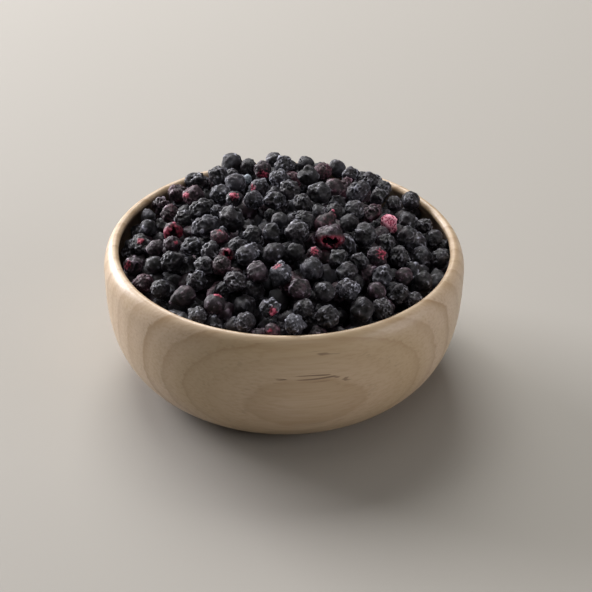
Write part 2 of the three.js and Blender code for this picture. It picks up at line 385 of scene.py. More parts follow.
def triangleCount(mesh):
    return sum(len(face.vertices) - 2 for face in mesh.polygons)


def thin(piece, triangles):
    fewer = piece.modifiers.new("fewer", "DECIMATE")
    fewer.ratio = min(1, triangles / triangleCount(piece.data))
    bpy.context.view_layer.objects.active = piece
    bpy.ops.object.modifier_apply(modifier=fewer.name)


def modelBerry(name, bench, look):
    bpy.ops.object.select_all(action="DESELECT")
    radius = berryModel["radius"]
    bpy.ops.mesh.primitive_ico_sphere_add(subdivisions=4, radius=radius, location=(bench, 0, 0))
    berry = bpy.context.object
    berry.name = name
    raiseCrown(berry, look)
    finer = berry.modifiers.new("finer", "SUBSURF")
    finer.levels = finer.render_levels = 2
    bpy.ops.object.modifier_apply(modifier=finer.name)
    if name == "pointed":
        point = berry.modifiers.new("point", "SIMPLE_DEFORM")
        point.deform_method = "TAPER"
        point.deform_axis = "Z"
        point.factor = -berryModel["taper"]
        bpy.ops.object.modifier_apply(modifier=point.name)
    displace(berry, lumpTexture, look["lump"] * mm)
    dentTexture = reliefTexture(name + "Dents", "VORONOI", look["dentSize"] * mm)
    displace(berry, dentTexture, look["dent"] * mm, 0.55)
    netTexture = reliefTexture(name + "Net", "VORONOI", look["netSize"] * mm)
    displace(berry, netTexture, look["net"] * mm, 0.5, wrinklePatch(berry, "netted", 0, 0.55))
    foldTexture = reliefTexture(name + "Folds", "VORONOI", look["foldSize"] * mm)
    covers = {"x": look["foldCover"], "z": berryModel["foldCover"]}
    for number, axis in enumerate(covers, 1):  # squeezed here, stretched when the scale goes back
        patch = wrinklePatch(berry, "folded" + axis, number, covers[axis])
        setattr(berry.scale, axis, berryModel["foldStretch"])
        bpy.context.view_layer.update()
        displace(berry, foldTexture, look["folds"] * mm, 0.5, patch)
        berry.scale = (1, 1, 1)
    bpy.context.view_layer.update()
    berry.vertex_groups.clear()
    displace(berry, grainTexture, look["grain"] * mm)
    berry.location = (0, 0, 0)
    storeRelief(berry)
    bpy.ops.object.shade_smooth()
    return berry


def copyOf(piece, name):
    copied = piece.copy()
    copied.data = piece.data.copy()
    copied.name = name
    bpy.context.scene.collection.objects.link(copied)
    return copied


templates = {}
for step, (name, values) in enumerate(berryKinds.items(), 4):
    finest = modelBerry(name, step * berryModel["benchStep"], dict(zip(kindParts, values)))
    templates[name] = {"whole": finest}
    for fineness, triangles in finenesses.items():
        finest = copyOf(finest, name + fineness)
        thin(finest, triangles)
        templates[name][fineness] = finest
print("berry kinds modelled:", len(templates))


# The heap. Berries that are CAD nodes lie where their nodes are, and the others fill in round them. Each
# has a kind, a skin and, where it shows, spots of open flesh: how far across and up from its middle as the
# camera sees it, and how wide, all in shares of its radius.

camera = {
    "place": Vector((5.421, -590.197, 411.699)) * mm, "downwards": math.radians(32.527),
    "roll": math.radians(0.81), "lens": 93.83,
}
tilt = math.radians(90) - camera["downwards"]
cameraTurn = Matrix.Rotation(tilt, 3, "X") @ Matrix.Rotation(camera["roll"], 3, "Z")

topSides = {
    "back": [
        ("smooth2", "dustySkin"), ("folded2", "blueBlackSkin"),
        ("netted1", "purpleSkin", (0.1, -0.75, 0.7)), ("smooth3", "blueBlackSkin"),
        ("smooth3", "blueBlackSkin"), ("dimpled2", "dustySkin"), ("smooth3", "dustySkin"),
        ("netted2", "dustySkin"), ("netted3", "dustySkin", (-0.75, -0.25, 0.55)),
        ("smooth1", "redPurpleSkin"), ("folded2", "dustySkin"), ("wrinkled1", "blueBlackSkin"),
        ("smooth3", "blueBlackSkin"),
    ],
    "left": [
        ("netted2", "redPurpleSkin", (-0.7, 0.1, 0.4)), ("wrinkled2", "purpleSkin"),
        ("netted1", "redPurpleSkin"), ("folded1", "blueBlackSkin"), ("folded1", "dustySkin"),
        ("wrinkled3", "blueBlackSkin", (0, 0.45, 0.4)), ("smooth3", "purpleSkin", (-0.5, 0.1, 0.45)),
        ("wrinkled1", "dustySkin"), ("wrinkled2", "blueBlackSkin"), ("wrinkled1", "blueBlackSkin"),
        ("netted1", "blueBlackSkin"), ("pointed", "purpleSkin"), ("dimpled2", "dustySkin"),
    ],
    "middle": [
        ("netted2", "dustySkin"), ("wrinkled2", "dustySkin"), ("wrinkled3", "blueBlackSkin"),
        ("wrinkled1", "blueBlackSkin"), ("smooth2", "redPurpleSkin", (0.1, 0.85, 0.45)),
        ("dimpled1", "dustySkin"), ("netted2", "blueBlackSkin"),
        ("pointed", "redPurpleSkin", (0.55, 0.85, 0.5)), ("smooth2", "blueBlackSkin"),
        ("netted3", "blueBlackSkin"), ("smooth3", "dustySkin"), ("smooth2", "dustySkin"),
        ("netted1", "dustySkin"), ("netted3", "dustySkin", (-0.4, 0.8, 0.4)),
        ("wrinkled3", "blueBlackSkin"),
    ],
    "right": [
        ("wrinkled1", "blueBlackSkin"), ("smooth3", "blueBlackSkin"),
        ("netted1", "purpleSkin", (0.45, 0.3, 0.6)), ("wrinkled2", "dustySkin"),
        ("smooth2", "blueBlackSkin"), ("smooth1", "purpleSkin"),
    ],
    "front": [
        ("smooth1", "purpleSkin", (0.3, 0.9, 0.4)), ("netted1", "dustySkin"), ("netted3", "dustySkin"),
        ("smooth3", "purpleSkin"), ("netted2", "dustySkin"), ("wrinkled1", "blueBlackSkin"),
        ("wrinkled3", "blueBlackSkin"),
    ],
}
topBerries = {}
for side, sideBerries in topSides.items():
    for number, berry in enumerate(sideBerries, 1):
        topBerries["berry_%s_%d" % (side, number)] = berry

# The other berries of the top layer, all in berry_bed: across, back, width in mm, kind, skin, spots
beddedBerries = [
    (-18, 59, 8, "netted1", "blueBlackSkin"), (-18, 43, 4, "smooth1", "beadSkin"),
    (-32, 50, 8.4, "wrinkled1", "blueBlackSkin"), (-1, 55, 8, "netted3", "dustySkin"),
    (10, 40, 8.4, "dimpled1", "blueBlackSkin"), (17, 50, 8, "netted1", "redPurpleSkin"),
    (24, 60, 8.4, "smooth2", "dustySkin"), (38, 49, 8.6, "wrinkled3", "blueBlackSkin"),
    (44, 47, 7.6, "netted2", "blueBlackSkin"), (2, 20, 8.4, "wrinkled1", "blueBlackSkin"),
    (43, 33, 7.6, "dimpled2", "blueBlackSkin"), (50, 30, 7, "smooth3", "blueBlackSkin"),
    (-50, 42, 8, "netted3", "redPurpleSkin"), (-63, 28, 7.6, "smooth2", "dustySkin"),
    (-29, 23, 8, "netted3", "dustySkin"), (-23, 16, 7.2, "smooth3", "blueBlackSkin", (0, 0.35, 0.55)),
    (-30, 8, 5.6, "netted1", "dustySkin"), (-45, 7, 7.8, "wrinkled2", "blueBlackSkin"),
    (-62, 14, 8, "dimpled1", "dustySkin"), (-56, -9, 7.6, "smooth3", "purpleSkin"),
    (-49, -12, 7.8, "wrinkled1", "purpleSkin", (0.5, 0.4, 0.3)),
    (-13, -19, 7.8, "wrinkled3", "blueBlackSkin"), (-31, -26, 8, "folded2", "blueBlackSkin"),
    (-20, -24, 7, "netted3", "blueBlackSkin"), (-56, -22, 7.6, "smooth1", "blueBlackSkin"),
    (-26, -36, 7.6, "netted1", "redPurpleSkin"), (-60, -30, 7.6, "netted3", "redPurpleSkin"),
    (-11, -43, 8.8, "smooth3", "purpleSkin"),
    (-5, -61, 7.8, "wrinkled1", "dustySkin", (0.3, -0.3, 0.45)),
    (-35, -60, 7.8, "netted3", "blueBlackSkin"),
    (-4, -71, 6, "smooth1", "redPurpleSkin", (-0.2, 0.1, 0.4)),
    (31, 8, 8.2, "netted2", "blueBlackSkin"), (38, 9, 8, "folded1", "redPurpleSkin"),
    (56, 14, 8, "dimpled2", "blueBlackSkin"), (15, 0, 7, "smooth3", "blueBlackSkin"),
    (22, 4, 7, "netted1", "blueBlackSkin"), (9, -8, 8, "wrinkled2", "blueBlackSkin"),
    (-2, -8, 7, "smooth1", "blueBlackSkin"), (44, -13, 7.4, "wrinkled1", "blueBlackSkin"),
    (62, 15, 7.4, "wrinkled3", "blueBlackSkin"), (67, 8, 7.6, "smooth3", "blueBlackSkin"),
    (5, -30, 7.4, "smooth2", "blueBlackSkin"), (13, -30, 6, "netted1", "redPurpleSkin", (0, 0.5, 0.6)),
    (23, -32, 8.2, "dimpled2", "blueBlackSkin"), (32, -30, 7, "wrinkled1", "blueBlackSkin"),
    (50, -20, 8.4, "wrinkled3", "blueBlackSkin"), (27, -39, 8.2, "smooth3", "blueBlackSkin"),
    (-25.5, 57, 6.4, "smooth2", "blueBlackSkin"), (4.5, 60, 6.4, "smooth3", "blueBlackSkin"),
    (15, 58, 6.4, "netted1", "blueBlackSkin"), (35, 55.5, 7, "smooth2", "blueBlackSkin"),
    (41.5, 54, 6.6, "wrinkled1", "blueBlackSkin"), (51, -32, 7, "smooth1", "purpleSkin"),
    (17, -52, 8.2, "smooth2", "blueBlackSkin"), (49, -43, 8, "wrinkled2", "blueBlackSkin"),
    (33, -57, 8.8, "dimpled1", "blueBlackSkin"), (9, -61, 7.6, "netted3", "blueBlackSkin"),
    (55, -43, 7, "smooth3", "blueBlackSkin"),
]
openBerries = ["berry_torn_shell", "berry_pink_flesh", "berry_cracked_open", "berry_crimson_ring"]

heap = {
    "frontLevel": 64.5 * mm, "backLevel": 67.5 * mm, "leftLevel": 56 * mm, "rightLevel": 60 * mm,
    "peakLevel": 80 * mm, "radius": 71 * mm, "usualRadius": 4.2 * mm,
    "spares": 1040, "smallest": 3.8 * mm, "largest": 4.9 * mm, "lidDrop": 5.2 * mm, "rounds": 260,
    "nearDepth": 9 * mm, "middleDepth": 15 * mm,  # how deep the finer berries go
    "pairReach": 1.5 * mm, "pairEvery": 6, "push": 0.7, "beddedGive": 0.15, "mostSqueezed": 1.4 * mm,
}
bowl = {
    "radius": 80 * mm, "widestHeight": 55 * mm, "outerDepth": 61.4 * mm, "roundness": 3.15,
    "lipHeight": 62 * mm, "lipMiddle": 75.3 * mm, "lipRadius": 2 * mm,
    "innerRadius": 75.8 * mm, "innerWidest": 54 * mm, "floor": 8 * mm, "footRounding": 1.2 * mm,
    "shoulderRoundness": 1.8, "lipTurn": math.radians(205),  # the lip's rounding ends a little past upright
    "turnSteps": 256, "bellySteps": 28, "shoulderSteps": 10, "innerSteps": 4, "lipSteps": 7,
}


def heapLevel(x, y):  # the height of the top layer's middles
    out = np.maximum(np.hypot(x, y), 0.01 * mm)
    side = np.where(x > 0, heap["rightLevel"], heap["leftLevel"]) * (x / out) ** 2
    depth = np.where(y > 0, heap["backLevel"], heap["frontLevel"]) * (y / out) ** 2
    wall = side + depth
    return wall + (heap["peakLevel"] - wall) * (1 - (out / heap["radius"]) ** 2)


def bellyRadius(z, radius, widest, depth):
    share = np.clip((widest - z) / depth, 0, 1)
    return radius * (1 - share ** bowl["roundness"]) ** (1 / bowl["roundness"])


def shoulderRadius(z, radius, widest, edge):
    last = math.acos(edge / radius)
    reach = (bowl["lipHeight"] - widest) / math.sin(last)
    return radius * np.sqrt(1 - np.clip((z - widest) / reach, 0, math.sin(last)) ** 2)


def hollowRadius(z):
    depth = bowl["innerWidest"] - bowl["floor"]
    low = bellyRadius(z, bowl["innerRadius"], bowl["innerWidest"], depth)
    edge = bowl["lipMiddle"] - bowl["lipRadius"]
    high = shoulderRadius(z, bowl["innerRadius"], bowl["innerWidest"], edge)
    return np.where(z < bowl["innerWidest"], low, high)


def furthestOut(z, radius):  # how far from the axis a berry's middle may be, by the wall or over the lip
    inside = hollowRadius(np.clip(z, bowl["floor"], bowl["lipHeight"])) - radius
    below = hollowRadius(np.clip(z - 0.7 * radius, bowl["floor"], bowl["lipHeight"])) - 0.7 * radius
    reach = radius + bowl["lipRadius"]
    above = np.clip(z - bowl["lipHeight"], 0, reach)
    over = bowl["lipMiddle"] - np.sqrt(reach ** 2 - above ** 2)
    return np.where(z > bowl["lipHeight"], over, np.minimum(inside, below))


def nodeBall(name):  # the middle and radius of a berry's CAD node
    low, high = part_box(name)
    return np.array((low + high) / 2), sum(high - low) / 6


def spareBerries():  # strewn by chance between the bowl's floor and the top layer
    count = heap["spares"]
    angle = draw.uniform(0, 2 * np.pi, count)
    out = bowl["innerRadius"] * np.sqrt(draw.uniform(0, 1, count)) * 0.95
    x, y = out * np.cos(angle), out * np.sin(angle)
    radius = draw.uniform(heap["smallest"], heap["largest"], count)
    roof = heapLevel(x, y) - heap["lidDrop"]
    power = bowl["roundness"]
    drop = (1 - (out / bowl["innerRadius"]) ** power) ** (1 / power)
    ground = bowl["innerWidest"] - (bowl["innerWidest"] - bowl["floor"]) * drop
    return np.c_[x, y, ground + (roof - ground) * draw.uniform(0, 1, count), radius]


def packBerries():
    fixed = []
    for name in list(topBerries) + openBerries:
        middle, radius = nodeBall(name)
        fixed.append((*middle, radius))
    bedded = []
    for x, y, width, *rest in beddedBerries:
        radius = width / 2 * mm
        sink = max(0, heap["usualRadius"] - radius)
        bedded.append((x * mm, y * mm, heapLevel(x * mm, y * mm) - sink, radius))
    berries = np.vstack([fixed, bedded, spareBerries()])
    settle(berries, len(fixed), len(fixed) + len(bedded))
    return berries, len(fixed), len(fixed) + len(bedded)


def settle(berries, firstFree, firstSpare):  # pushes berries apart, and in from the wall and the lid
    place, radius = berries[:, :3], berries[:, 3]
    give = np.ones(len(berries))
    give[:firstFree] = 0
    give[firstFree:firstSpare] = heap["beddedGive"]
    for turn in range(heap["rounds"]):
        if turn % heap["pairEvery"] == 0:
            reach = radius[:, None] + radius[None, :] + heap["pairReach"]
            apart2 = ((place[:, None, :] - place[None, :, :]) ** 2).sum(axis=2)
            one, other = np.nonzero(np.triu(apart2 < reach ** 2, 1))
        gapVector = place[other] - place[one]
        length = np.maximum(np.linalg.norm(gapVector, axis=1), 1e-6)
        missing = np.maximum(radius[one] + radius[other] - length, 0)
        share = np.maximum(give[one] + give[other], 1e-6)
        step = gapVector / length[:, None] * (missing * heap["push"] / share)[:, None]
        for axis in range(3):
            place[:, axis] -= np.bincount(one, step[:, axis] * give[one], len(place))
            place[:, axis] += np.bincount(other, step[:, axis] * give[other], len(place))
        spare = place[firstSpare:]
        roof = heapLevel(spare[:, 0], spare[:, 1]) - heap["lidDrop"]
        spare[:, 2] = np.clip(spare[:, 2], bowl["floor"] + radius[firstSpare:], roof)
        free = place[firstFree:]
        out = np.hypot(free[:, 0], free[:, 1])
        most = furthestOut(free[:, 2], radius[firstFree:])
        free[:, :2] *= np.minimum(1, most / np.maximum(out, 1e-6))[:, None]


berries, firstBedded, firstSpare = packBerries()
print("berries packed:", len(berries))


# Copies of the kinds go to their places

berryCopy = {"growth": 1.08, "spotEdge": 0.3, "spotUneven": 1.1, "spotRelief": 0.6}
# A bedded berry goes by its first number in beddedBerries
leans = {  # how far a long berry's axis rises to the right as the camera sees it, in degrees
    "berry_left_4": 32, "berry_left_5": 30, "berry_back_11": 35, "berry_back_2": -12, "berry_middle_2": 5,
    "berry_middle_12": 28, "berry_back_12": 10, "bedded38": 38,
}
crownAims = {  # where a berry's blossom end points as the camera sees it: to the right, up, and towards
    "berry_middle_8": (0.5, 0.85, 0.2), "berry_left_12": (-0.85, -0.35, 0.4),
    "berry_left_13": (-0.1, 0.3, 0.95), "berry_left_10": (0, 0.25, 0.95), "berry_back_1": (-0.8, -0.2, -0.6),
    "berry_middle_9": (0.2, -0.5, -0.8), "bedded33": (-0.1, 0.45, 0.9), "berry_right_6": (0.3, -0.6, -0.7),
    "berry_front_1": (-0.3, -0.5, -0.8),
}
sideways = math.radians(120)  # lays a long berry's axis across the view


def towardsCamera(across, up):  # a direction from a berry's middle, in shares of its radius as seen
    out = math.sqrt(max(0, 1 - across ** 2 - up ** 2))
    return cameraTurn @ Vector((across, up, out))


def placeMesh(piece, places):
    piece.data.vertices.foreach_set("co", places.astype(np.float32).ravel())
    piece.data.update()


def setAttribute(mesh, name, values):
    mesh.attributes[name].data.foreach_set("value", values.astype(np.float32))


def getAttribute(mesh, name):
    values = np.empty(len(mesh.vertices), np.float32)
    mesh.attributes[name].data.foreach_get("value", values)
    return values


def paintSpot(piece, middle, radius, across, up, size):  # the skin is broken there and the flesh shows
    direction = np.array(towardsCamera(across, up))
    away = np.linalg.norm((vertexArray(piece.data) - middle) / radius - direction, axis=1)
    relief = getAttribute(piece.data, "relief")
    away -= berryCopy["spotUneven"] * size * (relief - berryCopy["spotRelief"])  # ridges tear first
    spot = np.clip((size - away) / (berryCopy["spotEdge"] * size), 0, 1)
    setAttribute(piece.data, "opened", np.maximum(spot, getAttribute(piece.data, "opened")))


def placeBerry(name, kind, fineness, middle, radius, skin, spots=()):
    piece = copyOf(templates[kind][fineness], name)
    turn = Euler(draw.uniform(0, 2 * np.pi, 3)).to_matrix()
    if name in leans:
        turn = cameraTurn @ Euler((sideways, 0, math.radians(leans[name]))).to_matrix()
    if name in crownAims:
        turn = (cameraTurn @ Vector(crownAims[name])).to_track_quat("Z", "Y").to_matrix()
    turn = np.array(turn)
    size = radius / berryModel["radius"] * berryCopy["growth"]
    placeMesh(piece, vertexArray(piece.data) @ turn.T * size + middle)
    for spot in spots:
        paintSpot(piece, middle, radius, *spot)
    piece.data.materials.append(skins[skin])
    return piece


def finish(piece, nodes):
    for node in nodes:
        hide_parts(node)
    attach(piece, "root")


def joined(pieces, name):
    bpy.ops.object.select_all(action="DESELECT")
    for piece in pieces:
        piece.select_set(True)
    bpy.context.view_layer.objects.active = pieces[0]
    bpy.ops.object.join()
    pieces[0].name = name
    pieces[0].data.name = name
    return pieces[0]


def quarterOf(place):  # back, left, right or front, as the photo shows the bowl
    x, y = place[:2]
    if abs(y) > abs(x):
        return "Back" if y > 0 else "Front"
    return "Right" if x > 0 else "Left"


for (name, (kind, skin, *spots)), berry in zip(topBerries.items(), berries):
    piece = placeBerry(name, kind, "near", berry[:3], berry[3], skin, spots)
    piece.name = name + "_skin"
    finish(piece, [name])
print("top berries placed:", len(topBerries))

beddedPieces = {}
for (x, y, width, kind, skin, *spots), berry in zip(beddedBerries, berries[firstBedded:firstSpare]):
    piece = placeBerry("bedded%g" % x, kind, "near", berry[:3], berry[3], skin, spots)
    beddedPieces.setdefault(quarterOf(berry), []).append(piece)
for quarter, pieces in beddedPieces.items():
    finish(joined(pieces, "beddedBerries" + quarter), ["berry_bed"])
print("bedded berries placed:", len(beddedBerries))

spareSkins = ["blueBlackSkin"] * 9 + ["dustySkin"] * 3 + ["purpleSkin"] * 3 + ["redPurpleSkin"]
plainKinds = ["smooth1", "smooth2", "smooth3", "netted1", "dimpled1"]  # still round when of few faces


def fillBowl():
    place, radius = berries[:, :3], berries[:, 3]
    kept = list(range(firstSpare))
    groups = {}
    for number in range(firstSpare, len(berries)):
        away = np.linalg.norm(place[kept] - place[number], axis=1) - radius[kept] - radius[number]
        if away.min() < -heap["mostSqueezed"]:
            continue
        kept.append(number)
        x, y, z = place[number]
        depth = float(heapLevel(x, y)) - z
        fineness = "middle" if depth < heap["middleDepth"] else "pulpShade"
        if depth < heap["nearDepth"]:
            fineness = "between"
        choice = list(berryKinds) if fineness == "between" else plainKinds
        kind = choice[draw.integers(len(choice))]
        skin = spareSkins[draw.integers(len(spareSkins))]
        piece = placeBerry("spare", kind, fineness, place[number], radius[number], skin)
        groups.setdefault(fineness + "Berries" + quarterOf(place[number]), []).append(piece)
    for name, pieces in groups.items():
        finish(joined(pieces, name), ["berry_bed"])
    print("berries filled in:", len(kept) - firstSpare, "in", len(groups), "groups")


fillBowl()


# Berries that are broken open. The mouth is an oval as the camera sees it, narrower upwards by its taper,
# in shares of the berry's radius; one that runs out has no lower edge. The wall round the hollow is pulp,
# painted much darker than open flesh as painted shade inside the hollow.

openLooks = {
    "berry_torn_shell": {
        "kind": "smooth2", "skin": "redPurpleSkin", "growth": 1, "wall": 0.9 * mm, "runsOut": True,
        "ragged": 0.4, "across": 0.12, "up": -0.7, "wide": 0.62, "tall": 1.15, "taper": 0.75, "blush": 5,
    },
    "berry_cracked_open": {
        "kind": "netted2", "skin": "purpleSkin", "growth": 1.15, "wall": 1.0 * mm, "runsOut": False,
        "ragged": 0.9, "across": 0, "up": -0.35, "wide": 0.68, "tall": 0.38, "taper": -0.45, "blush": 0.5,
    },
    "berry_crimson_ring": {
        "kind": "smooth3", "skin": "redPurpleSkin", "growth": 1, "wall": 0.8 * mm, "runsOut": False,
        "ragged": 0.5, "across": 0.05, "up": 0.05, "wide": 0.42, "tall": 0.55, "taper": 0.1, "blush": 0.8,
    },
}
pulpDepth = 0.7 * mm
openFaces = 6000  # triangles of a broken berry
pulpTexture = reliefTexture("pulp", "CLOUDS", 0.9 * mm, noise_depth=2)


def openBerry(name, look):
    middle, radius = nodeBall(name)
    radius *= look["growth"]
    piece = placeBerry(name, look["kind"], "whole", middle, radius, look["skin"])
    piece.name = name + "_shell"
    # the hollow's wall gets the darkened pulp, painted shade
    piece.data.materials.append(shadedHollowFlesh)
    seen = (vertexArray(piece.data) - middle) @ np.array(cameraTurn) / radius
    relief = getAttribute(piece.data, "relief")
    rise = (seen[:, 1] - look["up"]) / look["tall"]
    if look["runsOut"]:
        rise = rise.clip(0)
    half = look["wide"] * np.clip(1 - look["taper"] * rise, 0.05, 2)
    mouth = np.hypot((seen[:, 0] - look["across"]) / half, rise) + look["ragged"] * (relief - 0.5)
    mouth[seen[:, 2] < -0.3] = 9  # the far side stays whole
    opened = (1 + look["blush"] - mouth) / look["blush"] + 0.5 * (relief - 0.5)
    setAttribute(piece.data, "opened", np.clip(opened, 0, 1))
    inMouth = mouth < 1
    bpy.ops.object.select_all(action="DESELECT")
    bpy.context.view_layer.objects.active = piece
    piece.select_set(True)
    pickFaces(piece, lambda face: all(inMouth[corner] for corner in face.vertices))
    bpy.ops.mesh.delete(type="FACE")
    bpy.ops.object.mode_set(mode="OBJECT")
    piece.vertex_groups.new(name="pulp")
    wall = piece.modifiers.new("wall", "SOLIDIFY")
    wall.thickness = look["wall"]
    wall.offset = -1
    wall.material_offset = 1
    wall.shell_vertex_group = "pulp"
    bpy.ops.object.modifier_apply(modifier=wall.name)
    pulp = piece.modifiers.new("pulp", "DISPLACE")
    pulp.texture = pulpTexture
    pulp.texture_coords = "GLOBAL"
    pulp.vertex_group = "pulp"
    pulp.strength = pulpDepth
    bpy.ops.object.modifier_apply(modifier=pulp.name)
    thin(piece, openFaces)
    return piece


for name, look in openLooks.items():
    finish(openBerry(name, look), [name])


tail = {"place": (0.62, -0.95, 0.2), "size": 0.42}  # as the camera sees it, in radii of the lump


def pinkFlesh(name):  # a lump of pulp that has lost its skin, with a torn tail below
    middle, radius = nodeBall(name)
    lump = placeBerry(name, "smooth3", "near", middle, radius, "purpleSkin")
    tailMiddle = middle + np.array(cameraTurn @ Vector(tail["place"])) * radius
    strip = placeBerry("tail", "folded1", "between", tailMiddle, radius * tail["size"], "purpleSkin")
    for part in (lump, strip):
        part.data.materials.clear()
        part.data.materials.append(brightFlesh)
    return joined([lump, strip], name + "_lump")


finish(pinkFlesh("berry_pink_flesh"), ["berry_pink_flesh"])
print("broken berries placed")
for made in templates.values():
    for piece in made.values():
        bpy.data.objects.remove(piece)


# Bowl: its outline is drawn point by point by extruding, then spun round

def roundedCurve(radius, widest, depth, lowest):  # from the widest point down, points at even distances
    turns = np.linspace(0, math.pi / 2, 2000)
    power = 2 / bowl["roundness"]
    out = radius * np.cos(turns).clip(0) ** power
    up = widest - depth * np.sin(turns) ** power
    out, up = out[up >= lowest], up[up >= lowest]
    far = np.r_[0, np.cumsum(np.hypot(np.diff(out), np.diff(up)))]
    even = np.linspace(0, far[-1], bowl["bellySteps"])
    return list(zip(np.interp(even, far, out), np.interp(even, far, up)))


def outerShoulder():  # from the widest point up to the top of the lip, in one rounding
    width = bowl["radius"] - bowl["lipMiddle"]
    rise = bowl["lipHeight"] + bowl["lipRadius"] - bowl["widestHeight"]
    power = 2 / bowl["shoulderRoundness"]
    points = []
    for turn in np.linspace(0, math.pi / 2, bowl["shoulderSteps"] + 1)[1:]:
        out = bowl["lipMiddle"] + width * max(0, math.cos(turn)) ** power
        points.append((out, bowl["widestHeight"] + rise * math.sin(turn) ** power))
    return points


def innerShoulder(radius, widest, edge):
    heights = np.linspace(widest, bowl["lipHeight"], bowl["innerSteps"] + 1)[1:-1]
    return [(float(shoulderRadius(z, radius, widest, edge)), z) for z in heights[::-1]]


def bowlOutline():
    lip, lipRadius = bowl["lipMiddle"], bowl["lipRadius"]
    belly = roundedCurve(bowl["radius"], bowl["widestHeight"], bowl["outerDepth"], bowl["footRounding"])
    foot = [(belly[-1][0] - bowl["footRounding"] * share, bowl["footRounding"] * height)
            for share, height in ((1.6, 0), (0.8, 0.2), (0.25, 0.55))]
    outline = foot + belly[::-1] + outerShoulder()
    for turn in np.linspace(math.pi / 2, bowl["lipTurn"], bowl["lipSteps"] + 1)[1:]:
        out, up = lipRadius * math.cos(turn), lipRadius * math.sin(turn)
        outline.append((lip + out, bowl["lipHeight"] + up))
    outline += innerShoulder(bowl["innerRadius"], bowl["innerWidest"], lip - lipRadius)
    hollowDepth = bowl["innerWidest"] - bowl["floor"]
    return outline + roundedCurve(bowl["innerRadius"], bowl["innerWidest"], hollowDepth, bowl["floor"])


def turnBowl():
    outline = [(0, 0), *bowlOutline()]
    bpy.ops.object.select_all(action="DESELECT")
    bpy.ops.mesh.primitive_circle_add(vertices=3, radius=mm)
    wood = bpy.context.object
    bpy.ops.object.mode_set(mode="EDIT")
    bpy.ops.mesh.select_mode(type="VERT")
    bpy.ops.mesh.select_all(action="SELECT")
    bpy.ops.mesh.merge(type="CENTER")
    for here, point in zip(outline, outline[1:]):
        step = (point[0] - here[0], 0, point[1] - here[1])
        bpy.ops.mesh.extrude_region_move(TRANSFORM_OT_translate={"value": step})
    bpy.ops.mesh.select_all(action="SELECT")
    bpy.ops.mesh.spin(steps=bowl["turnSteps"], angle=2 * math.pi, center=(0, 0, 0), axis=(0, 0, 1))
    bpy.ops.mesh.select_all(action="SELECT")
    bpy.ops.mesh.remove_doubles(threshold=0.002 * mm)
    bpy.ops.mesh.select_all(action="SELECT")
    bpy.ops.mesh.normals_make_consistent(inside=False)
    bpy.ops.object.mode_set(mode="OBJECT")
    wood.name = "turnedBowl"
    bpy.ops.object.shade_smooth_by_angle(angle=math.radians(40))
    return wood


turnedBowl = turnBowl()
print("bowl turned:", len(turnedBowl.data.polygons), "faces")

# Distances from the pith to each ring's outer edge are in mm. A ring's strength is how dark its late wood
# gets, and its tone is 0 for pinkish and 1 for olive wood.
woodLook = {
    "pithAway": 107.6 * mm, "pithHeight": 28 * mm, "pithTurn": math.radians(8),  # where the rings' axis runs
    "ringEdges": (0, 12, 23, 34.2, 41, 47, 55.4, 65.2, 76, 84.2, 91, 100, 110, 119, 129, 138, 148, 158, 169,
                  179, 190),
    "ringStrengths": (0.4, 0.4, 0.4, 0.45, 0.1, 0.6, 0.55, 0.9, 0.4, 0.5, 0.35, 0.8, 0.5, 0.9, 0.4, 0.7, 0.5,
                      1, 0.4, 0.8, 0.5),
    "ringTones": (0.2, 0.1, 0.1, 0.5, 0.9, 1, 0.3, 0.2, 0.35, 0.2, 0.6, 0.2, 0.7, 0.3, 0.6, 0.2, 0.7, 0.3,
                  0.6, 0.2, 0.5),
    "sways": ((26 * mm, 4 * mm), (7 * mm, 1.6 * mm), (2.2 * mm, 1.3 * mm)),  # size and reach of the bends
    "swayStretch": 0.35, "fibreStretch": 0.05, "fibreSize": 1.1 * mm, "fibreDepth": 0.05 * mm,
    "early": (0.63, 0.49, 0.36), "mottle": (0.53, 0.4, 0.25), "mottleSize": 20 * mm, "mottleAmount": 0.6,
    "late": (0.42, 0.29, 0.17), "edge": (0.4, 0.25, 0.14), "edgeAmount": 0.3, "streakAmount": 0.3,
    "crack": (0.14, 0.08, 0.05), "crackSize": 0.9 * mm, "crackPlace": (13 * mm, -78 * mm, 44.5 * mm),
    "crackReach": 19 * mm, "crackAmount": 0.7, "cracksElsewhere": 0.2,
    "innerDarkColour": (0.13, 0.085, 0.065), "innerDarkAmount": 0.75, "innerDarkTop": 63.5 * mm, "innerDarkFull": 55 * mm,
    "innerDarkRadius": 76.5 * mm, "innerDarkEdge": 0.8 * mm, "innerDarkEnds": (25 * mm, 28 * mm),
    "roughness": (0.3, 0.42),
}


def byRing(tree, place, away, values):  # a value that runs evenly from each ring's edge to the next
    edges = woodLook["ringEdges"]
    share = calculate(tree, (place[0] - 100, place[1]), "DIVIDE", away, edges[-1] * mm)
    node = addNode(tree, "ShaderNodeFloatCurve", place, inputs={"Value": share})
    points = node.mapping.curves[0].points
    for edge, value in zip(edges[1:-1], values[1:-1]):
        points.new(edge / edges[-1], value)
    for point, value in zip(points, values):
        point.location = (point.location[0], value)
        point.handle_type = "VECTOR"
    node.mapping.update()
    return node.outputs["Value"]


def stretched(tree, place, vector, share):  # drawn out along the grain
    inputs = {"Vector": vector, "Scale": (share, 1, 1)}
    return addNode(tree, "ShaderNodeMapping", place, inputs=inputs).outputs["Vector"]


def vectorMath(tree, place, operation, inputs):
    node = addNode(tree, "ShaderNodeVectorMath", place, {"operation": operation}, inputs)
    return node.outputs["Value"]


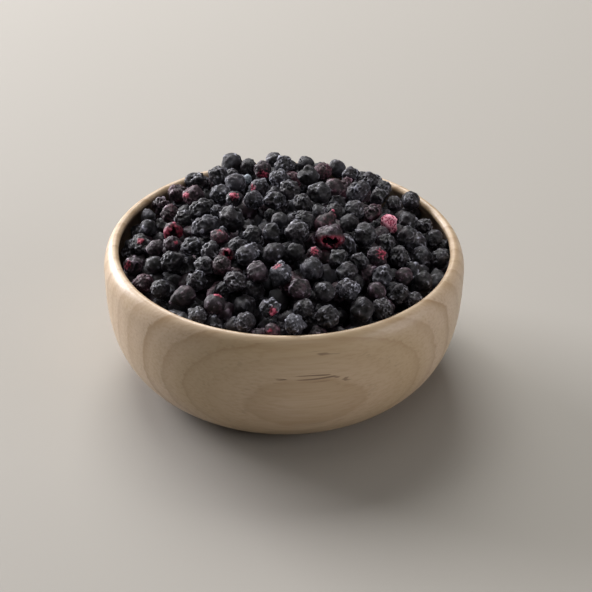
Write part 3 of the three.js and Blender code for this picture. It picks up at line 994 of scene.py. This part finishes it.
def flatLength(tree, place, vector, first, second):  # the distance from an axis, by two of the coordinates
    parts = addNode(tree, "ShaderNodeSeparateXYZ", place, inputs={"Vector": vector})
    kept = {axis: parts.outputs[axis] for axis in (first, second)}
    flat = addNode(tree, "ShaderNodeCombineXYZ", (place[0] + 150, place[1]), inputs=kept)
    return vectorMath(tree, (place[0] + 300, place[1]), "LENGTH", {0: flat.outputs["Vector"]})


def innerDarkeningMask(tree, place):  # inside the lip the wood is darkened towards dark brown, more the further down it goes
    out = flatLength(tree, (-600, 900), place, "X", "Y")
    height = addNode(tree, "ShaderNodeSeparateXYZ", (-600, 700), inputs={"Vector": place}).outputs["Z"]
    edge = woodLook["innerDarkRadius"]
    inside = mapRange(tree, (-150, 900), out, edge, edge - woodLook["innerDarkEdge"])
    top, full, most = woodLook["innerDarkTop"], woodLook["innerDarkFull"], woodLook["innerDarkAmount"]
    pulpShade = mapRange(tree, (-150, 700), height, top, full, 0, most)
    # lower down the outside would be reached too, and berries hide the inside
    aboveFoot = mapRange(tree, (-150, 500), height, *woodLook["innerDarkEnds"])
    return multiply(tree, (150, 800), multiply(tree, (0, 800), inside, pulpShade), aboveFoot)


def ringDistance(tree, grain, slow):  # how far a point lies from the pith, unevenly, so that the rings bend
    away = flatLength(tree, (-2000, -100), grain, "Y", "Z")
    for step, (size, reach) in enumerate(woodLook["sways"]):
        tone = noiseTone(tree, (-1800, 400 - 200 * step), slow, 1 / size)
        centred = calculate(tree, (-1650, 400 - 200 * step), "SUBTRACT", tone, 0.5)
        shift = multiply(tree, (-1500, 400 - 200 * step), centred, reach)
        away = calculate(tree, (-1450 + 100 * step, 0), "ADD", away, shift)
    return away


def crackMask(tree, place, lengthways, within):  # short dark splits by a ring's edge, most in one spot
    far = vectorMath(tree, (-1700, -800), "DISTANCE", {0: place, 1: woodLook["crackPlace"]})
    near = mapRange(tree, (-1500, -800), far, woodLook["crackReach"], woodLook["crackReach"] * 0.6)
    near = calculate(tree, (-1450, -800), "MAXIMUM", near, woodLook["cracksElsewhere"])
    centred = calculate(tree, (-1650, -1200), "SUBTRACT", within, 0.5)
    fromMiddle = calculate(tree, (-1500, -1200), "ABSOLUTE", centred)
    near = multiply(tree, (-1350, -800), mapRange(tree, (-1400, -1200), fromMiddle, 0.33, 0.45), near)
    split = noiseTone(tree, (-1700, -1000), lengthways, 1 / woodLook["crackSize"], 0)
    return multiply(tree, (-1300, -900), near, mapRange(tree, (-1500, -1000), split, 0.6, 0.7))


def makeWood():
    material, tree, surface = newMaterial("bowlWood")
    place = addNode(tree, "ShaderNodeTexCoord", (-2400, 0)).outputs["Object"]
    grain = addNode(tree, "ShaderNodeMapping", (-2200, 0), inputs={  # x along the grain, from the pith
        "Vector": place, "Rotation": (0, 0, -woodLook["pithTurn"]),
        "Location": (0, woodLook["pithAway"], -woodLook["pithHeight"]),
    }).outputs["Vector"]
    slow = stretched(tree, (-2000, 300), grain, woodLook["swayStretch"])
    lengthways = stretched(tree, (-2000, -500), grain, woodLook["fibreStretch"])
    away = ringDistance(tree, grain, slow)
    count = len(woodLook["ringEdges"]) - 1
    rings = byRing(tree, (-1150, 0), away, [number / count for number in range(count + 1)])
    within = calculate(tree, (-850, 0), "FRACT", multiply(tree, (-1000, 0), rings, count))
    strength = byRing(tree, (-1150, -300), away, woodLook["ringStrengths"])
    drop = mapRange(tree, (-700, 150), within, 0.88, 1.0, 1, 0)
    slope = multiply(tree, (-550, 0), mapRange(tree, (-700, 0), within, 0.45, 0.93), strength)
    late = multiply(tree, (-400, 0), slope, drop)
    mottle = noiseTone(tree, (-1800, 600), slow, 1 / woodLook["mottleSize"])
    mottled = mapRange(tree, (-1500, 600), mottle, 0.38, 0.62)
    mottled = multiply(tree, (-750, 600), mottled, woodLook["mottleAmount"])
    tone = byRing(tree, (-1150, 800), away, woodLook["ringTones"])
    mottled = calculate(tree, (-600, 700), "MAXIMUM", mottled, tone)
    early = blendColours(tree, (-400, 600), mottled, woodLook["early"], woodLook["mottle"])
    colour = blendColours(tree, (-250, 0), late, early, woodLook["late"])
    last = multiply(tree, (-550, 300), mapRange(tree, (-700, 300), within, 0.8, 0.95), drop)
    edged = multiply(tree, (-550, 400), strength, woodLook["edgeAmount"])
    last = multiply(tree, (-400, 300), last, edged)
    colour = blendColours(tree, (-100, 0), last, colour, woodLook["edge"])
    fibre = noiseTone(tree, (-1700, -500), lengthways, 1 / woodLook["fibreSize"], 4)
    streak = mapRange(tree, (-1400, -500), fibre, 0.4, 0.7)
    streak = multiply(tree, (-1200, -500), streak, woodLook["streakAmount"])
    colour = blendColours(tree, (50, 0), streak, colour, woodLook["edge"])
    crack = crackMask(tree, place, lengthways, within)
    cracked = multiply(tree, (-1150, -900), crack, woodLook["crackAmount"])
    colour = blendColours(tree, (200, 0), cracked, colour, woodLook["crack"])
    # the wood inside the lip gets darker further down
    colour = blendColours(tree, (350, 0), innerDarkeningMask(tree, place), colour, woodLook["innerDarkColour"])
    tree.links.new(colour, surface.inputs["Base Color"])
    height = calculate(tree, (-1000, -700), "SUBTRACT", fibre, crack)
    addBump(tree, height, woodLook["fibreDepth"], surface)
    smooth, rough = woodLook["roughness"]
    uneven = mapRange(tree, (-200, -300), fibre, 0.3, 0.7, smooth, rough, "LINEAR")
    tree.links.new(uneven, surface.inputs["Roughness"])
    return material


turnedBowl.data.materials.append(makeWood())
finish(turnedBowl, ["bowl"])


# Floor, light and camera

stage = {
    "floor": (0.37, 0.352, 0.322), "floorSize": 8.0, "aim": (0, 0, 0.04),
    "key": {"place": (-1.67, 1.26, 0.68), "size": 1.3, "power": 82, "colour": (0.99, 0.97, 1)},
    "back": {"place": (-0.37, 1.37, 1.69), "size": 1.3, "power": 42, "colour": (1, 0.99, 0.97)},
    "fill": {"place": (2, -0.73, 0.57), "size": 1.3, "power": 17, "colour": (1, 0.96, 0.97)},
    "top": {"place": (0, 0, 2.2), "size": 1.4, "power": 7, "colour": (1, 0.95, 0.9)},
    "front": {"place": (0.1, -1.5, 1.9), "size": 1.4, "power": 6, "colour": (1, 0.98, 0.94)},
    "sky": (1, 0.97, 0.95), "skyStrength": 0.01,
}


def makeFloor():
    bpy.ops.mesh.primitive_plane_add(size=stage["floorSize"])
    floor = bpy.context.object
    floor.name = "floor"
    material, tree, surface = newMaterial("paleFloor")
    surface.inputs["Base Color"].default_value = (*stage["floor"], 1)
    surface.inputs["Roughness"].default_value = 0.8
    floor.data.materials.append(material)


def addLight(name, look):
    bpy.ops.object.light_add(type="AREA", location=look["place"])
    lamp = bpy.context.object
    lamp.name = name
    lamp.data.size = look["size"]
    lamp.data.energy = look["power"]
    lamp.data.color = look["colour"]
    aim = Vector(stage["aim"]) - Vector(look["place"])
    lamp.rotation_euler = aim.to_track_quat("-Z", "Y").to_euler()


makeFloor()
for name in ("key", "back", "fill", "top", "front"):
    addLight(name + "Light", stage[name])
world = bpy.data.worlds.new("softSky")
bpy.context.scene.world = world
world.use_nodes = True
world.node_tree.nodes["Background"].inputs["Color"].default_value = (*stage["sky"], 1)
world.node_tree.nodes["Background"].inputs["Strength"].default_value = stage["skyStrength"]
bpy.context.scene.view_settings.view_transform = "Standard"

bpy.ops.object.camera_add(location=camera["place"], rotation=cameraTurn.to_euler())
view = bpy.context.object
view.data.lens = camera["lens"]
view.data.sensor_width = 36
view.data.clip_start = 0.01
bpy.context.scene.camera = view
